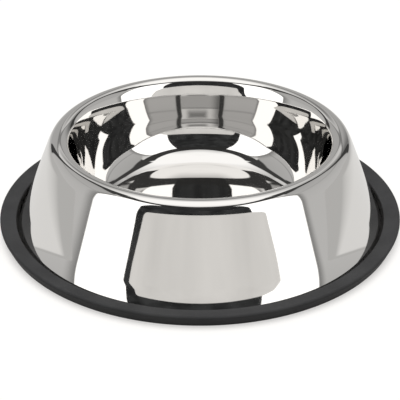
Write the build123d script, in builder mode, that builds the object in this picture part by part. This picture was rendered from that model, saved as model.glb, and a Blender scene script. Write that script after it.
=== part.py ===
from build123d import *
from math import cos, radians, sin
import os

# A stainless dog bowl: one pressed sheet, open underneath, with a rubber ring round its foot.
# Lengths are in millimetres. +Z is up, and the ring stands on Z = 0, centred on the Z axis.
# A tilt is the angle, in degrees, between the sheet and the vertical.

# Sheet
sheet_thickness = 0.6

# Rolled rim, on the sheet's polished side
crest_radius = 85.4
crest_height = 58.2
inner_fold_radius = 5.8
inner_shoulder_radius = 52.7
inner_shoulder_tilt = 20.55
outer_fold_radius = 7.3
outer_shoulder_radius = 31.6
outer_shoulder_tilt = 29.9

# Food well
wall_tilt = 10.6
upper_cove_radius = 59.0
cove_tilt = 24.9
cove_radius = 22.7
floor_height = 6.4

# Skirt, and the flat flange at its foot
skirt_tilt = 21.85
flare_radius = 56.0
flare_tilt = 34.0
flange_bend_radius = 2.5
flange_width = 4.94

# Rubber ring
seat_height = 2.7
seat_reach = 6.2
ring_wall = 5.3
ring_height = 7.8
foot_inset = 3.45
lip_height = 5.65
lip_reach = 5.4
lip_edge = 1.1
edge_clearance = 0.3
lip_clearance = 0.15
top_corner_radius = 1.2
foot_corner_radius = 0.8
lip_corner_radius = 0.4
grip_groove_radius = 0.6
grip_groove_shares = (0.34, 0.66)


def inward(tilt):
    """Unit normal of the well's side of the sheet, towards the axis and up."""
    return Vector(-cos(radians(tilt)), sin(radians(tilt)))


def outward(tilt):
    """Unit normal of the skirt's side of the sheet, away from the axis and up."""
    return Vector(cos(radians(tilt)), sin(radians(tilt)))


# Arc centres in the section, radius then height. Each arc runs on tangent from the one before it.
flange_top = seat_height + sheet_thickness
inner_fold_centre = Vector(crest_radius, crest_height - inner_fold_radius)
inner_shoulder_centre = inner_fold_centre + inward(inner_shoulder_tilt) * (
    inner_fold_radius - inner_shoulder_radius
)
wall_offset = inward(wall_tilt).dot(inner_shoulder_centre) + inner_shoulder_radius
cove_height = floor_height + cove_radius
cove_step = inward(cove_tilt) * (upper_cove_radius - cove_radius)
floor_radius = (
    inward(wall_tilt).Y * cove_height
    + inward(wall_tilt).dot(cove_step)
    - upper_cove_radius
    - wall_offset
) / outward(wall_tilt).X
cove_centre = Vector(floor_radius, cove_height)
upper_cove_centre = cove_centre + cove_step

outer_fold_centre = Vector(crest_radius, crest_height - outer_fold_radius)
outer_shoulder_centre = outer_fold_centre + outward(outer_shoulder_tilt) * (
    outer_fold_radius - outer_shoulder_radius
)
skirt_offset = outward(skirt_tilt).dot(outer_shoulder_centre) + outer_shoulder_radius
flange_bend_height = flange_top + flange_bend_radius
flare_step = outward(flare_tilt) * (flare_radius - flange_bend_radius)
flange_start = (
    skirt_offset
    + flare_radius
    - outward(skirt_tilt).Y * flange_bend_height
    - outward(skirt_tilt).dot(flare_step)
) / outward(skirt_tilt).X
flange_bend_centre = Vector(flange_start, flange_bend_height)
flare_centre = flange_bend_centre + flare_step
flange_radius = flange_start + flange_width


def sheet_side(depth):
    """One side of the sheet, at a depth under the polished side, from the axis to the flange's edge."""
    cove = CenterArc(cove_centre, cove_radius + depth, -90, 90 - cove_tilt)
    upper_cove = CenterArc(
        upper_cove_centre, upper_cove_radius + depth, -cove_tilt, cove_tilt - wall_tilt
    )
    inner_shoulder = CenterArc(
        inner_shoulder_centre,
        inner_shoulder_radius - depth,
        180 - wall_tilt,
        wall_tilt - inner_shoulder_tilt,
    )
    inner_fold = CenterArc(
        inner_fold_centre,
        inner_fold_radius - depth,
        180 - inner_shoulder_tilt,
        inner_shoulder_tilt - 90,
    )
    outer_fold = CenterArc(
        outer_fold_centre, outer_fold_radius - depth, 90, outer_shoulder_tilt - 90
    )
    outer_shoulder = CenterArc(
        outer_shoulder_centre,
        outer_shoulder_radius - depth,
        outer_shoulder_tilt,
        skirt_tilt - outer_shoulder_tilt,
    )
    flare = CenterArc(
        flare_centre, flare_radius + depth, 180 + skirt_tilt, flare_tilt - skirt_tilt
    )
    flange_bend = CenterArc(
        flange_bend_centre, flange_bend_radius + depth, 180 + flare_tilt, 90 - flare_tilt
    )
    floor = Line((0, floor_height - depth), cove @ 0)
    Line(upper_cove @ 1, inner_shoulder @ 0)
    Line(outer_shoulder @ 1, flare @ 0)
    flange = Line(flange_bend @ 1, (flange_radius, flange_top - depth))
    return floor @ 0, flange @ 1


# Steel bowl: well, rim, skirt, flare and flange in one sheet of even thickness
with BuildPart() as steel_bowl:
    with BuildSketch(Plane.XZ) as sheet_section:
        with BuildLine() as sheet_outline:
            top_centre, top_edge = sheet_side(0)
            under_centre, under_edge = sheet_side(sheet_thickness)
            Line(top_centre, under_centre)
            Line(top_edge, under_edge)
        make_face()
    revolve(axis=Axis.Z)

# Rubber ring: a grooved ring that grips the flange's edge, wider at its top than at its foot
groove_radius = flange_radius + edge_clearance
ring_radius = flange_radius + ring_wall
lip_radius = flange_radius - lip_reach
seat_radius = flange_radius - seat_reach
foot_radius = ring_radius - foot_inset
groove_top = flange_top + lip_clearance
ring_corners = (
    ((seat_radius, 0), foot_corner_radius),
    ((foot_radius, 0), foot_corner_radius),
    ((ring_radius, ring_height), top_corner_radius),
    ((lip_radius, lip_height), lip_corner_radius),
    ((lip_radius, lip_height - lip_edge), lip_corner_radius),
    ((flange_start, groove_top), 0),
    ((groove_radius, groove_top), 0),
    ((groove_radius, seat_height), 0),
    ((seat_radius, seat_height), 0),
)
grip_grooves = [
    (seat_radius + (foot_radius - seat_radius) * share, 0) for share in grip_groove_shares
]

with BuildPart() as rubber_ring:
    with BuildSketch(Plane.XZ) as ring_section:
        with BuildLine() as ring_outline:
            FilletPolyline(
                [point for point, _ in ring_corners],
                radius=[radius for _, radius in ring_corners],
                close=True,
            )
        make_face()
        with Locations(*grip_grooves):
            Circle(grip_groove_radius, mode=Mode.SUBTRACT)
    revolve(axis=Axis.Z)

os.makedirs("parts", exist_ok=True)
for name, piece in (("steel_bowl", steel_bowl), ("rubber_ring", rubber_ring)):
    piece.part.label = name
    export_step(piece.part, f"parts/{name}.step")

print(f"floor radius {floor_radius:.2f}, flange radius {flange_radius:.2f}, ring radius {ring_radius:.2f}")
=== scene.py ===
from math import cos, pi, radians, sin, tan

import bmesh
import bpy
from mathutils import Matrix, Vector


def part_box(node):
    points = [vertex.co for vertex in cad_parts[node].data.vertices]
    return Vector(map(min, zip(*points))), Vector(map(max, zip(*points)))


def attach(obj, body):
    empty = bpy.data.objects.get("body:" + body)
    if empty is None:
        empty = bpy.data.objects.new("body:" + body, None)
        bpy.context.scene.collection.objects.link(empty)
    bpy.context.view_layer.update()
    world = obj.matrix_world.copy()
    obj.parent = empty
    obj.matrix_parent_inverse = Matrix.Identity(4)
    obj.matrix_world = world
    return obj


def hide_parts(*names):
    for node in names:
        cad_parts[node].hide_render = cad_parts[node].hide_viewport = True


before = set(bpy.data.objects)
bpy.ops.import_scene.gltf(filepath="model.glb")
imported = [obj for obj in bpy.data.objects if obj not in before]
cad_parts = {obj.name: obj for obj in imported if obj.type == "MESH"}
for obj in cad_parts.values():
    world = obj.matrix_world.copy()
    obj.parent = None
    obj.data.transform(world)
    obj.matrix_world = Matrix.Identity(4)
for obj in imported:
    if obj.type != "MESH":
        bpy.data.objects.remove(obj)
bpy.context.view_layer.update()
print("frame loaded with", ", ".join(sorted(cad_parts)))


# Small helpers for node trees
def addNode(tree, kind, **settings):
    node = tree.nodes.new(kind)
    for name, value in settings.items():
        setattr(node, name, value)
    return node


def mathNode(tree, operation, *values, kind="ShaderNodeMath"):
    node = addNode(tree, kind, operation=operation)
    for socket, value in zip(node.inputs, values):
        if isinstance(value, bpy.types.NodeSocket):
            tree.links.new(value, socket)
        else:
            socket.default_value = value
    return node.outputs[0]


def ramp(tree, value, start, end):  # from start's span to end's span, held at both ends
    node = addNode(tree, "ShaderNodeMapRange")
    tree.links.new(value, node.inputs["Value"])
    for name, number in zip(("From Min", "From Max", "To Min", "To Max"), (*start, *end)):
        node.inputs[name].default_value = number
    return node.outputs[0]


def newSocket(tree, name, kind, inOut="INPUT"):
    tree.interface.new_socket(name=name, in_out=inOut, socket_type=kind)


# Lathe: turns a section, radius along X and height along Z, once round the Z axis
latheSettings = {
    "weldDistance": 1e-6,
    "creaseAngle": 0.7,  # radians, edges that bend more stay sharp
}


def buildLatheTree():
    tree = bpy.data.node_groups.new("lathe", "GeometryNodeTree")
    newSocket(tree, "Section", "NodeSocketGeometry")
    newSocket(tree, "Section Points", "NodeSocketInt")
    newSocket(tree, "Steps Round", "NodeSocketInt")
    newSocket(tree, "Weld Distance", "NodeSocketFloat")
    newSocket(tree, "Crease Angle", "NodeSocketFloat")
    newSocket(tree, "Finish", "NodeSocketMaterial")
    newSocket(tree, "Piece", "NodeSocketGeometry", "OUTPUT")
    given = addNode(tree, "NodeGroupInput").outputs
    result = addNode(tree, "NodeGroupOutput")
    link = tree.links.new
    whole = "FunctionNodeIntegerMath"

    # a grid with one row of points for each point of the section
    rowLength = mathNode(tree, "ADD", given["Steps Round"], 1, kind=whole)
    grid = addNode(tree, "GeometryNodeMeshGrid")
    link(given["Section Points"], grid.inputs["Vertices X"])
    link(rowLength, grid.inputs["Vertices Y"])
    index = addNode(tree, "GeometryNodeInputIndex").outputs[0]
    along = mathNode(tree, "DIVIDE_FLOOR", index, rowLength, kind=whole)
    around = mathNode(tree, "MODULO", index, rowLength, kind=whole)
    angle = mathNode(tree, "DIVIDE", mathNode(tree, "MULTIPLY", around, 2 * pi), given["Steps Round"])

    def fromSection(value, kind):  # what the section holds at this row's point
        sample = addNode(tree, "GeometryNodeSampleIndex", data_type=kind, domain="POINT")
        link(given["Section"], sample.inputs["Geometry"])
        link(value, sample.inputs["Value"])
        link(along, sample.inputs["Index"])
        return sample.outputs[0]

    split = addNode(tree, "ShaderNodeSeparateXYZ")
    position = addNode(tree, "GeometryNodeInputPosition").outputs[0]
    link(fromSection(position, "FLOAT_VECTOR"), split.inputs[0])
    radius, _, height = split.outputs
    join = addNode(tree, "ShaderNodeCombineXYZ")
    link(mathNode(tree, "MULTIPLY", radius, mathNode(tree, "COSINE", angle)), join.inputs["X"])
    link(mathNode(tree, "MULTIPLY", radius, mathNode(tree, "SINE", angle)), join.inputs["Y"])
    link(height, join.inputs["Z"])
    turned = addNode(tree, "GeometryNodeSetPosition")
    link(grid.outputs["Mesh"], turned.inputs["Geometry"])
    link(join.outputs[0], turned.inputs["Position"])

    carried = addNode(tree, "GeometryNodeInputNamedAttribute", data_type="FLOAT")
    carried.inputs["Name"].default_value = "underside"
    store = addNode(tree, "GeometryNodeStoreNamedAttribute", data_type="FLOAT", domain="POINT")
    store.inputs["Name"].default_value = "underside"
    link(turned.outputs[0], store.inputs["Geometry"])
    link(fromSection(carried.outputs[0], "FLOAT"), store.inputs["Value"])

    weld = addNode(tree, "GeometryNodeMergeByDistance")  # closes the seam and the poles
    link(store.outputs[0], weld.inputs["Geometry"])
    link(given["Weld Distance"], weld.inputs["Distance"])
    smooth = addNode(tree, "GeometryNodeSetShadeSmooth", domain="FACE")
    link(weld.outputs[0], smooth.inputs["Geometry"])
    bend = addNode(tree, "GeometryNodeInputMeshEdgeAngle").outputs[0]
    sharp = addNode(tree, "FunctionNodeCompare", data_type="FLOAT", operation="GREATER_THAN")
    link(bend, sharp.inputs[0])
    link(given["Crease Angle"], sharp.inputs[1])
    crease = addNode(tree, "GeometryNodeSetShadeSmooth", domain="EDGE")
    crease.inputs["Shade Smooth"].default_value = False
    link(smooth.outputs[0], crease.inputs["Geometry"])
    link(sharp.outputs[0], crease.inputs["Selection"])
    realize = addNode(tree, "GeometryNodeRealizeInstances")
    link(crease.outputs[0], realize.inputs["Geometry"])
    finish = addNode(tree, "GeometryNodeSetMaterial")
    link(realize.outputs[0], finish.inputs["Geometry"])
    link(given["Finish"], finish.inputs["Material"])
    link(finish.outputs[0], result.inputs["Piece"])
    return tree


latheTree = buildLatheTree()


def lathePiece(name, section, underside, stepsRound, finish):
    outline = bpy.data.meshes.new(name + "_section")
    outline.from_pydata([(r, 0, z) for r, z in section], [], [])
    mask = outline.attributes.new("underside", "FLOAT", "POINT")
    mask.data.foreach_set("value", underside)
    piece = bpy.data.objects.new(name, outline)
    bpy.context.scene.collection.objects.link(piece)
    lathe = piece.modifiers.new("lathe", "NODES")
    lathe.node_group = latheTree
    values = {
        "Section Points": len(section),
        "Steps Round": stepsRound,
        "Weld Distance": latheSettings["weldDistance"],
        "Crease Angle": latheSettings["creaseAngle"],
        "Finish": finish,
    }
    for socket in latheTree.interface.items_tree:
        if socket.in_out == "INPUT" and socket.name in values:
            lathe[socket.identifier] = values[socket.name]
    graph = bpy.context.evaluated_depsgraph_get()
    turned = bpy.data.meshes.new_from_object(piece.evaluated_get(graph))
    piece.modifiers.remove(lathe)
    piece.data = turned
    turned.name = name
    bpy.data.meshes.remove(outline)
    turned.calc_loop_triangles()
    print(name, "turned:", len(turned.vertices), "points,", len(turned.loop_triangles), "triangles")
    return piece


def arcPoints(centre, radius, start, end, steps):  # angles in degrees, both ends included
    angles = [radians(start + (end - start) * i / steps) for i in range(steps + 1)]
    return [(centre[0] + radius * cos(a), centre[1] + radius * sin(a)) for a in angles]


def straightPoints(start, end, shares):  # points between two ends, ends left out
    return [tuple(Vector(start).lerp(Vector(end), share)) for share in shares]


# Polished steel bowl, one pressed sheet: well, rolled rim, skirt, flare and flange
# Radii are on the polished side, and a tilt is measured from the vertical, in degrees
steelBowl = {
    "sheetThickness": 0.0006,
    "crestRadius": 0.0854,
    "innerFoldRadius": 0.0058,
    "innerShoulderRadius": 0.0527,
    "innerShoulderTilt": 20.55,
    "outerFoldRadius": 0.0073,
    "outerShoulderRadius": 0.0316,
    "outerShoulderTilt": 29.9,
    "wallTilt": 10.6,
    "upperCoveRadius": 0.059,
    "coveTilt": 24.9,
    "coveRadius": 0.0227,
    "floorHeight": 0.0064,
    "skirtTilt": 21.85,
    "flareRadius": 0.056,
    "flareTilt": 34.0,
    "flangeBendRadius": 0.0025,
    "arcSteps": {
        "cove": 44,
        "upperCove": 16,
        "innerShoulder": 16,
        "innerFold": 36,
        "outerFold": 36,
        "outerShoulder": 10,
        "flare": 24,
        "flangeBend": 24,
    },
    "leastSteps": 3,
    "undersideFineness": 0.4,  # share of those steps on the hidden side
    "straightShares": (0.02, 0.2, 0.5, 0.8, 0.98),  # short steps where a straight meets an arc
    "joinedGap": 0.00006,  # arcs nearer than this run on with no straight between
    "stepsRound": 288,
}


def inward(tilt):  # normal of the well's side, towards the axis and up
    return Vector((-cos(radians(tilt)), sin(radians(tilt))))


def outward(tilt):  # normal of the skirt's side, away from the axis and up
    return Vector((cos(radians(tilt)), sin(radians(tilt))))


def sheetSide(size, depth, fineness):  # one side of the sheet, from the axis to the flange's edge
    lowest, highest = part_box("steel_bowl")
    flangeTop = lowest.z + size["sheetThickness"]

    # centres of the arcs, each tangent to the one before it
    innerFold = Vector((size["crestRadius"], highest.z - size["innerFoldRadius"]))
    innerShoulder = innerFold + inward(size["innerShoulderTilt"]) * (
        size["innerFoldRadius"] - size["innerShoulderRadius"]
    )
    wall = inward(size["wallTilt"])
    wallOffset = wall.dot(innerShoulder) + size["innerShoulderRadius"]
    coveHeight = size["floorHeight"] + size["coveRadius"]
    coveStep = inward(size["coveTilt"]) * (size["upperCoveRadius"] - size["coveRadius"])
    floorRadius = (
        wall.y * coveHeight + wall.dot(coveStep) - size["upperCoveRadius"] - wallOffset
    ) / -wall.x
    cove = Vector((floorRadius, coveHeight))
    outerFold = Vector((size["crestRadius"], highest.z - size["outerFoldRadius"]))
    outerShoulder = outerFold + outward(size["outerShoulderTilt"]) * (
        size["outerFoldRadius"] - size["outerShoulderRadius"]
    )
    skirt = outward(size["skirtTilt"])
    skirtOffset = skirt.dot(outerShoulder) + size["outerShoulderRadius"]
    flareStep = outward(size["flareTilt"]) * (size["flareRadius"] - size["flangeBendRadius"])
    bendHeight = flangeTop + size["flangeBendRadius"]
    flangeStart = (
        skirtOffset + size["flareRadius"] - skirt.y * bendHeight - skirt.dot(flareStep)
    ) / skirt.x
    flangeBend = Vector((flangeStart, bendHeight))

    arcs = (  # name, centre, whether depth widens or narrows it, start and end angle
        ("cove", cove, 1, -90, -size["coveTilt"]),
        ("upperCove", cove + coveStep, 1, -size["coveTilt"], -size["wallTilt"]),
        ("innerShoulder", innerShoulder, -1, 180 - size["wallTilt"], 180 - size["innerShoulderTilt"]),
        ("innerFold", innerFold, -1, 180 - size["innerShoulderTilt"], 90),
        ("outerFold", outerFold, -1, 90, size["outerShoulderTilt"]),
        ("outerShoulder", outerShoulder, -1, size["outerShoulderTilt"], size["skirtTilt"]),
        ("flare", flangeBend + flareStep, 1, 180 + size["skirtTilt"], 180 + size["flareTilt"]),
        ("flangeBend", flangeBend, 1, 180 + size["flareTilt"], 270),
    )
    points = [(0.0, size["floorHeight"] - depth)]
    for name, centre, way, start, end in arcs:
        radius = size[name + "Radius"] + way * depth
        steps = max(size["leastSteps"], int(size["arcSteps"][name] * fineness))
        turn = arcPoints(centre, radius, start, end, steps)
        if (Vector(turn[0]) - Vector(points[-1])).length < size["joinedGap"]:
            turn = turn[1:]
        else:
            points += straightPoints(points[-1], turn[0], size["straightShares"])
        points += turn
    edge = (highest.x, flangeTop - depth)
    return points + straightPoints(points[-1], edge, size["straightShares"]) + [edge]


def makeSteelBowl(size, finish):
    polished = sheetSide(size, 0.0, 1.0)
    hidden = sheetSide(size, size["sheetThickness"], size["undersideFineness"])
    underside = [0.0] * len(polished) + [1.0] * len(hidden)
    return lathePiece("bowl_sheet", polished + hidden[::-1], underside, size["stepsRound"], finish)


# Rubber ring, pushed over the flange's edge
rubberRing = {
    "seatHeight": 0.0027,
    "seatReach": 0.0062,
    "wall": 0.0053,
    "height": 0.0078,
    "footInset": 0.00345,
    "lipHeight": 0.00565,
    "lipReach": 0.0054,
    "lipEdge": 0.0011,
    "flangeWidth": 0.00494,
    "edgeClearance": 0.0003,
    "lipClearance": 0.00015,
    "topCornerRadius": 0.0012,
    "footCornerRadius": 0.0008,
    "lipCornerRadius": 0.0004,
    "cornerSteps": 8,
    "gripGrooveRadius": 0.0006,
    "gripGrooveShares": (0.66, 0.34),
    "gripGrooveSteps": 10,
    "stepsRound": 360,
}


def roundedOutline(corners, steps):  # corners are (point, radius), and the outline is closed
    outline = []
    for i, (point, radius) in enumerate(corners):
        here = Vector(point)
        if radius == 0:
            outline.append(tuple(here))
            continue
        back = (Vector(corners[i - 1][0]) - here).normalized()
        ahead = (Vector(corners[(i + 1) % len(corners)][0]) - here).normalized()
        half = back.angle(ahead) / 2
        centre = here + (back + ahead).normalized() * (radius / sin(half))
        first = here + back * (radius / tan(half)) - centre
        last = here + ahead * (radius / tan(half)) - centre
        for k in range(steps + 1):
            outline.append(tuple(centre + first.slerp(last, k / steps).normalized() * radius))
    return outline


def makeRubberRing(size, finish):
    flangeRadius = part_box("steel_bowl")[1].x
    flangeTop = size["seatHeight"] + steelBowl["sheetThickness"]
    ringRadius = flangeRadius + size["wall"]
    footRadius = ringRadius - size["footInset"]
    seatRadius = flangeRadius - size["seatReach"]
    lipRadius = flangeRadius - size["lipReach"]
    grooveRadius = flangeRadius + size["edgeClearance"]
    grooveTop = flangeTop + size["lipClearance"]
    corners = (
        ((seatRadius, 0), size["footCornerRadius"]),
        ((seatRadius, size["seatHeight"]), 0),
        ((grooveRadius, size["seatHeight"]), 0),
        ((grooveRadius, grooveTop), 0),
        ((flangeRadius - size["flangeWidth"], grooveTop), 0),
        ((lipRadius, size["lipHeight"] - size["lipEdge"]), size["lipCornerRadius"]),
        ((lipRadius, size["lipHeight"]), size["lipCornerRadius"]),
        ((ringRadius, size["height"]), size["topCornerRadius"]),
        ((footRadius, 0), size["footCornerRadius"]),
    )
    section = roundedOutline(corners, size["cornerSteps"])
    for share in size["gripGrooveShares"]:  # from the outside in, along the foot
        centre = (seatRadius + (footRadius - seatRadius) * share, 0)
        section += arcPoints(centre, size["gripGrooveRadius"], 0, 180, size["gripGrooveSteps"])
    section.append(section[0])
    return lathePiece("foot_ring", section, [0.0] * len(section), size["stepsRound"], finish)


# Finishes
def newFinish(name):
    material = bpy.data.materials.new(name)
    material.use_nodes = True
    tree = material.node_tree
    return material, tree, tree.nodes["Principled BSDF"]


grainDetail = {"Patches": 3.0, "Grain": 2.0}
noiseSpan = (0.3, 0.7)  # most of a noise pattern lies between these


def buildGrainGroup():  # uneven patches and fine grain, as masks
    tree = bpy.data.node_groups.new("grain", "ShaderNodeTree")
    for name in grainDetail:
        newSocket(tree, name + " Scale", "NodeSocketFloat")
        newSocket(tree, name, "NodeSocketFloat", "OUTPUT")
    given = addNode(tree, "NodeGroupInput").outputs
    result = addNode(tree, "NodeGroupOutput").inputs
    place = addNode(tree, "ShaderNodeTexCoord").outputs["Object"]
    for name, detail in grainDetail.items():
        noise = addNode(tree, "ShaderNodeTexNoise")
        noise.inputs["Detail"].default_value = detail
        tree.links.new(place, noise.inputs["Vector"])
        tree.links.new(given[name + " Scale"], noise.inputs["Scale"])
        tree.links.new(noise.outputs[0], result[name])
    return tree


grainGroup = buildGrainGroup()


def placeGrain(tree, patchScale, grainScale=0.0):
    grain = addNode(tree, "ShaderNodeGroup", node_tree=grainGroup)
    grain.inputs["Patches Scale"].default_value = patchScale
    grain.inputs["Grain Scale"].default_value = grainScale
    return grain.outputs


def addBump(tree, shader, height, distance):
    bump = addNode(tree, "ShaderNodeBump")
    bump.inputs["Strength"].default_value = 1.0
    bump.inputs["Distance"].default_value = distance
    tree.links.new(height, bump.inputs["Height"])
    tree.links.new(bump.outputs["Normal"], shader.inputs["Normal"])


polishedSteel = {
    "colour": (0.84, 0.83, 0.815, 1),
    "roughness": (0.02, 0.05),
    "undersideRoughness": 0.32,
    "patchScale": 26.0,
    "waveHeight": 0.00001,
}


def makePolishedSteel(look):
    material, tree, shader = newFinish("polished steel")
    shader.inputs["Base Color"].default_value = look["colour"]
    shader.inputs["Metallic"].default_value = 1.0
    grain = placeGrain(tree, look["patchScale"])
    mask = addNode(tree, "ShaderNodeAttribute", attribute_name="underside")
    mix = addNode(tree, "ShaderNodeMix", data_type="FLOAT")
    tree.links.new(mask.outputs["Fac"], mix.inputs["Factor"])
    tree.links.new(ramp(tree, grain["Patches"], noiseSpan, look["roughness"]), mix.inputs["A"])
    mix.inputs["B"].default_value = look["undersideRoughness"]
    tree.links.new(mix.outputs["Result"], shader.inputs["Roughness"])
    addBump(tree, shader, grain["Patches"], look["waveHeight"])
    return material


blackRubber = {
    "colour": (0.041, 0.041, 0.042, 1),
    "paleColour": (0.059, 0.059, 0.06, 1),
    "roughness": (0.5, 0.62),
    "specularLevel": 0.1,
    "patchScale": 45.0,
    "grainScale": 1400.0,
    "grainHeight": 0.00006,
}


def makeBlackRubber(look):
    material, tree, shader = newFinish("black rubber")
    shader.inputs["Specular IOR Level"].default_value = look["specularLevel"]
    grain = placeGrain(tree, look["patchScale"], look["grainScale"])
    tint = addNode(tree, "ShaderNodeMix", data_type="RGBA")
    tree.links.new(ramp(tree, grain["Patches"], noiseSpan, (0.0, 1.0)), tint.inputs["Factor"])
    tint.inputs["A"].default_value = look["colour"]
    tint.inputs["B"].default_value = look["paleColour"]
    tree.links.new(tint.outputs["Result"], shader.inputs["Base Color"])
    tree.links.new(ramp(tree, grain["Patches"], noiseSpan, look["roughness"]), shader.inputs["Roughness"])
    addBump(tree, shader, grain["Grain"], look["grainHeight"])
    return material


bowlSheet = makeSteelBowl(steelBowl, makePolishedSteel(polishedSteel))
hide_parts("steel_bowl")
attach(bowlSheet, "bowl")
footRing = makeRubberRing(rubberRing, makeBlackRubber(blackRubber))
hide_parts("rubber_ring")
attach(footRing, "ring")
print("pieces placed")


# Studio: pale floor, white surround, and the dome and cards that only the polish mirrors
def glowFinish(name, colour):
    material = bpy.data.materials.new(name)
    material.use_nodes = True
    material.cycles.emission_sampling = "NONE"
    tree = material.node_tree
    tree.nodes.clear()
    glow = addNode(tree, "ShaderNodeEmission")
    glow.inputs["Color"].default_value = colour
    tree.links.new(glow.outputs[0], addNode(tree, "ShaderNodeOutputMaterial").inputs["Surface"])
    return material, tree, glow.inputs["Strength"]


def stageCard(name, mesh, finish):
    mesh.materials.append(finish)
    card = bpy.data.objects.new(name, mesh)
    bpy.context.scene.collection.objects.link(card)
    card.visible_camera = False
    card.visible_diffuse = False
    card.visible_shadow = False


dome = {
    "radius": 10.0,
    "steps": (96, 48),
    "colour": (1, 0.99, 0.975, 1),
    "rise": (42, 66),  # elevations over which the level climbs
    "level": (0.42, 1.15),
}
# Azimuth runs from the camera's side, plus to the right, and elevation up, in degrees
# Later patches lie on top, and a copy is a side, 1 or -1 for mirrored, and a turn
asPlaced = ((1, 0),)
bothSides = ((1, 0), (-1, 0))
acrossBack = ((1, 0), (1, -360))  # azimuth jumps from 180 to -180 behind the bowl
domePatches = {
    "ceilingAhead": {
        "azimuth": (-50, 50), "elevation": (20, 160), "edge": 20,
        "rise": (66, 77), "level": (0.69, 1.12)
    },
    "gapOverLamps": {"azimuth": (-106, 106), "elevation": (55, 66), "edge": 0.6, "level": 0.045},
    "wallTop": {
        "azimuth": (74, 156), "elevation": (-40, 66), "corner": 50, "edge": 1.2, "level": 0.05,
        "copies": bothSides
    },
    "sideWall": {
        "azimuth": (70, 141), "elevation": (-40, 52.5), "corner": 26, "edge": 1.2,
        "rise": (0, 52.5), "level": (0.54, 0.43), "copies": bothSides
    },
    "sideWallEnd": {
        "azimuth": (137, 147), "elevation": (-40, 38), "edge": 1, "level": 0.05, "copies": bothSides
    },
    "sideSeam": {
        "azimuth": (78, 136), "elevation": (28, 29.8), "edge": 0.9, "level": 0.34, "copies": bothSides
    },
    "backWall": {
        "azimuth": (145.5, 214.5), "elevation": (-40, 26.5), "edge": 0.6, "level": 0.42,
        "copies": bothSides
    },
    "backStrip": {
        "azimuth": (145.5, 214.5), "elevation": (26.5, 46), "edge": 1.2, "level": 0.7,
        "copies": bothSides
    },
    "backSeam": {
        "azimuth": (145.5, 214.5), "elevation": (25.4, 26.8), "edge": 0.5, "level": 0.22,
        "copies": bothSides
    },
    "backShade": {"azimuth": (144, 151), "elevation": (-40, 38), "edge": 14, "level": 0.05},
    "backSmudge": {
        "azimuth": (167, 203), "elevation": (30, 44), "corner": 4, "edge": 7, "level": 0.22,
        "copies": acrossBack
    },
    "leftFrame": {"azimuth": (-82, -70), "elevation": (-40, 54), "edge": 7, "level": 0.17},
    "rightFrame": {"azimuth": (70, 77), "elevation": (-40, 52), "edge": 3, "level": 0.24},
    "leftLamp": {
        "azimuth": (-78.5, -30), "elevation": (-40, 55.5), "corner": 8, "edge": 0.5, "level": 1.5
    },
    "rightLamp": {
        "azimuth": (25, 74), "elevation": (-40, 55.5), "corner": 8, "edge": 0.5, "level": 1.5
    },
    "gapAhead": {
        "azimuth": (-38, 33), "elevation": (-40, 66), "corner": 3, "edge": 0.5, "level": 0.03
    },
}


def buildPatchGroup():  # how far inside a round-cornered patch a direction lies, as a 0 to 1 mask
    tree = bpy.data.node_groups.new("dome patch", "ShaderNodeTree")
    newSocket(tree, "Direction", "NodeSocketVector")
    newSocket(tree, "Centre", "NodeSocketVector")
    newSocket(tree, "Half Size", "NodeSocketVector")
    newSocket(tree, "Corner", "NodeSocketFloat")
    newSocket(tree, "Edge", "NodeSocketFloat")
    newSocket(tree, "Mask", "NodeSocketFloat", "OUTPUT")
    given = addNode(tree, "NodeGroupInput").outputs
    result = addNode(tree, "NodeGroupOutput").inputs
    vector = "ShaderNodeVectorMath"
    away = mathNode(tree, "SUBTRACT", given["Direction"], given["Centre"], kind=vector)
    away = mathNode(tree, "ABSOLUTE", away, kind=vector)
    away = mathNode(tree, "SUBTRACT", away, given["Half Size"], kind=vector)
    split = addNode(tree, "ShaderNodeSeparateXYZ")
    tree.links.new(away, split.inputs[0])
    within = mathNode(tree, "MAXIMUM", split.outputs["X"], split.outputs["Y"])
    within = mathNode(tree, "MINIMUM", within, 0.0)
    beyond = addNode(tree, vector, operation="LENGTH")
    tree.links.new(mathNode(tree, "MAXIMUM", away, (0, 0, 0), kind=vector), beyond.inputs[0])
    distance = mathNode(tree, "ADD", beyond.outputs["Value"], within)
    distance = mathNode(tree, "SUBTRACT", distance, given["Corner"])
    mask = addNode(tree, "ShaderNodeMapRange", interpolation_type="SMOOTHSTEP")
    tree.links.new(distance, mask.inputs["Value"])
    tree.links.new(given["Edge"], mask.inputs["From Min"])
    tree.links.new(mathNode(tree, "MULTIPLY", given["Edge"], -1.0), mask.inputs["From Max"])
    tree.links.new(mask.outputs[0], result["Mask"])
    return tree


patchGroup = buildPatchGroup()


def addPatch(tree, direction, elevation, level, patch, copy):  # lays one patch over the level so far
    side, turn = copy
    spans = (sorted(side * edge + turn for edge in patch["azimuth"]), patch["elevation"])
    corner = patch.get("corner", 0)
    mask = addNode(tree, "ShaderNodeGroup", node_tree=patchGroup)
    tree.links.new(direction, mask.inputs["Direction"])
    mask.inputs["Centre"].default_value = (*[(low + high) / 2 for low, high in spans], 0)
    mask.inputs["Half Size"].default_value = (*[(high - low) / 2 - corner for low, high in spans], 0)
    mask.inputs["Corner"].default_value = corner
    mask.inputs["Edge"].default_value = patch["edge"]
    mix = addNode(tree, "ShaderNodeMix", data_type="FLOAT")
    tree.links.new(mask.outputs["Mask"], mix.inputs["Factor"])
    tree.links.new(level, mix.inputs["A"])
    if "rise" in patch:
        tree.links.new(ramp(tree, elevation, patch["rise"], patch["level"]), mix.inputs["B"])
    else:
        mix.inputs["B"].default_value = patch["level"]
    return mix.outputs["Result"]


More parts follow.
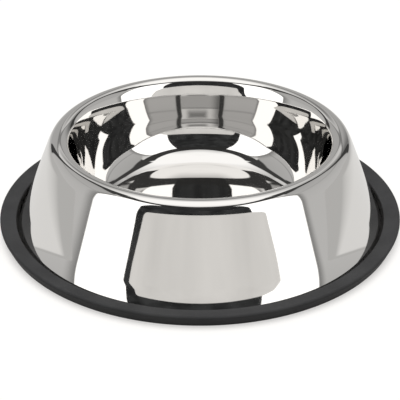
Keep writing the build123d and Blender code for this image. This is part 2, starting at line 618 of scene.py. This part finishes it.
def makeDome(look, patches):
    material, tree, strength = glowFinish("dome", look["colour"])
    place = addNode(tree, "ShaderNodeTexCoord").outputs["Object"]
    split = addNode(tree, "ShaderNodeSeparateXYZ")
    tree.links.new(mathNode(tree, "NORMALIZE", place, kind="ShaderNodeVectorMath"), split.inputs[0])
    ahead = mathNode(tree, "MULTIPLY", split.outputs["Y"], -1.0)
    azimuth = mathNode(tree, "DEGREES", mathNode(tree, "ARCTAN2", split.outputs["X"], ahead))
    elevation = mathNode(tree, "DEGREES", mathNode(tree, "ARCSINE", split.outputs["Z"]))
    direction = addNode(tree, "ShaderNodeCombineXYZ")
    tree.links.new(azimuth, direction.inputs["X"])
    tree.links.new(elevation, direction.inputs["Y"])
    level = ramp(tree, elevation, look["rise"], look["level"])
    for patch in patches.values():
        for copy in patch.get("copies", asPlaced):
            level = addPatch(tree, direction.outputs[0], elevation, level, patch, copy)
    tree.links.new(level, strength)
    form = bmesh.new()
    around, upward = look["steps"]
    bmesh.ops.create_uvsphere(form, u_segments=around, v_segments=upward, radius=look["radius"])
    mesh = bpy.data.meshes.new("dome")
    form.to_mesh(mesh)
    form.free()
    stageCard("dome", mesh, material)


makeDome(dome, domePatches)

# flat cards close ahead of the bowl: corners are sideways and up, with how round each is
panel = {
    "ahead": 0.6,
    "colour": (1, 0.978, 0.945, 1),
    "level": (0.67, 0.76),
    "patchScale": 5.0,
    "cornerSteps": 8,
    "corners": (
        ((-0.505, 0.001), 0),
        ((0.62, 0.001), 0),
        ((0.62, 0.13), 0.05),
        ((0.53, 0.222), 0.05),
        ((0.42, 0.252), 0.1),
        ((-0.427, 0.252), 0.035),
        ((-0.44, 0.185), 0.05),
        ((-0.5, 0.12), 0.05),
    ),
}
curtain = {
    "ahead": 0.62,
    "colour": (0.97, 0.99, 1, 1),
    "level": (0.018, 0.048),
    "patchScale": 9.0,
    "cornerSteps": 8,
    "corners": (
        ((-0.6, 0.001), 0),
        ((0.425, 0.001), 0),
        ((0.425, 1.0), 0.15),
        ((-0.53, 1.0), 0.15),
        ((-0.553, 0.18), 0.1),
        ((-0.59, 0.11), 0.04),
    ),
}


def makeCard(name, card):
    outline = roundedOutline(card["corners"], card["cornerSteps"])
    mesh = bpy.data.meshes.new(name)
    mesh.from_pydata([(x, -card["ahead"], z) for x, z in outline], [], [tuple(range(len(outline)))])
    material, tree, strength = glowFinish(name, card["colour"])
    mottle = placeGrain(tree, card["patchScale"])["Patches"]
    tree.links.new(ramp(tree, mottle, noiseSpan, card["level"]), strength)
    stageCard(name, mesh, material)


makeCard("panel", panel)
makeCard("curtain", curtain)

paleFloor = {
    "radius": 12.0,
    "stepsRound": 96,
    "colour": (0.5, 0.495, 0.485, 1),
    "roughness": 0.9,
    "glowColour": (1, 0.985, 0.97, 1),
    "cameraGlow": 0.54,
    "tableCentre": (0, -0.3, 0),  # paler ground round the bowl, as the polish shows it
    "tableRadius": 0.545,
    "tableEdge": 0.09,
    "tableGlow": 0.27,
}


def makeFloor(look):
    bpy.ops.mesh.primitive_circle_add(vertices=look["stepsRound"], radius=look["radius"], fill_type="NGON")
    floor = bpy.context.object
    floor.name = "floor"
    material, tree, shader = newFinish("pale floor")
    shader.inputs["Base Color"].default_value = look["colour"]
    shader.inputs["Roughness"].default_value = look["roughness"]
    shader.inputs["Specular IOR Level"].default_value = 0.0
    shader.inputs["Emission Color"].default_value = look["glowColour"]
    rays = addNode(tree, "ShaderNodeLightPath").outputs
    seen = mathNode(tree, "MAXIMUM", rays["Is Camera Ray"], rays["Is Transmission Ray"])
    seen = mathNode(tree, "MULTIPLY", seen, look["cameraGlow"])
    reach = addNode(tree, "ShaderNodeVectorMath", operation="DISTANCE")
    tree.links.new(addNode(tree, "ShaderNodeTexCoord").outputs["Object"], reach.inputs[0])
    reach.inputs[1].default_value = look["tableCentre"]
    edge = (look["tableRadius"] - look["tableEdge"], look["tableRadius"] + look["tableEdge"])
    table = ramp(tree, reach.outputs["Value"], edge, (look["tableGlow"], 0.0))
    mirrored = mathNode(tree, "MULTIPLY", rays["Is Glossy Ray"], table)
    tree.links.new(mathNode(tree, "ADD", seen, mirrored), shader.inputs["Emission Strength"])
    floor.data.materials.append(material)


makeFloor(paleFloor)

studioLight = {
    "surroundLevel": 0.2,
    "overheadLevel": 2.5,
    "overheadSpread": 60,  # degrees
}


def makeSurround(level):  # white to the eye, dimmer as a light
    world = bpy.data.worlds.new("white surround")
    bpy.context.scene.world = world
    world.use_nodes = True
    tree = world.node_tree
    rays = addNode(tree, "ShaderNodeLightPath").outputs
    seen = mathNode(tree, "MAXIMUM", rays["Is Camera Ray"], rays["Is Glossy Ray"])
    seen = mathNode(tree, "MAXIMUM", seen, rays["Is Transmission Ray"])
    background = tree.nodes["Background"].inputs
    background["Color"].default_value = (1, 1, 1, 1)
    tree.links.new(ramp(tree, seen, (0, 1), (level, 1.0)), background["Strength"])


def makeOverhead(level, spread):  # soft, even light from straight above
    sun = bpy.data.lights.new("overhead", "SUN")
    sun.energy = level
    sun.angle = radians(spread)
    lamp = bpy.data.objects.new("overhead", sun)
    lamp.visible_camera = False
    lamp.visible_glossy = False
    bpy.context.scene.collection.objects.link(lamp)


makeSurround(studioLight["surroundLevel"])
makeOverhead(studioLight["overheadLevel"], studioLight["overheadSpread"])
print("studio lit with", len(domePatches), "dome patches")


# Camera at the photograph's angle
cameraView = {"place": (0, -0.6603, 0.3787), "lean": 60.85, "lens": 108, "sensor": 36}
lens = bpy.data.cameras.new("camera")
lens.lens = cameraView["lens"]
lens.sensor_width = cameraView["sensor"]
camera = bpy.data.objects.new("camera", lens)
camera.location = cameraView["place"]
camera.rotation_euler = (radians(cameraView["lean"]), 0, 0)
bpy.context.scene.collection.objects.link(camera)
bpy.context.scene.camera = camera
bpy.context.scene.view_settings.view_transform = "Standard"
print("camera set")
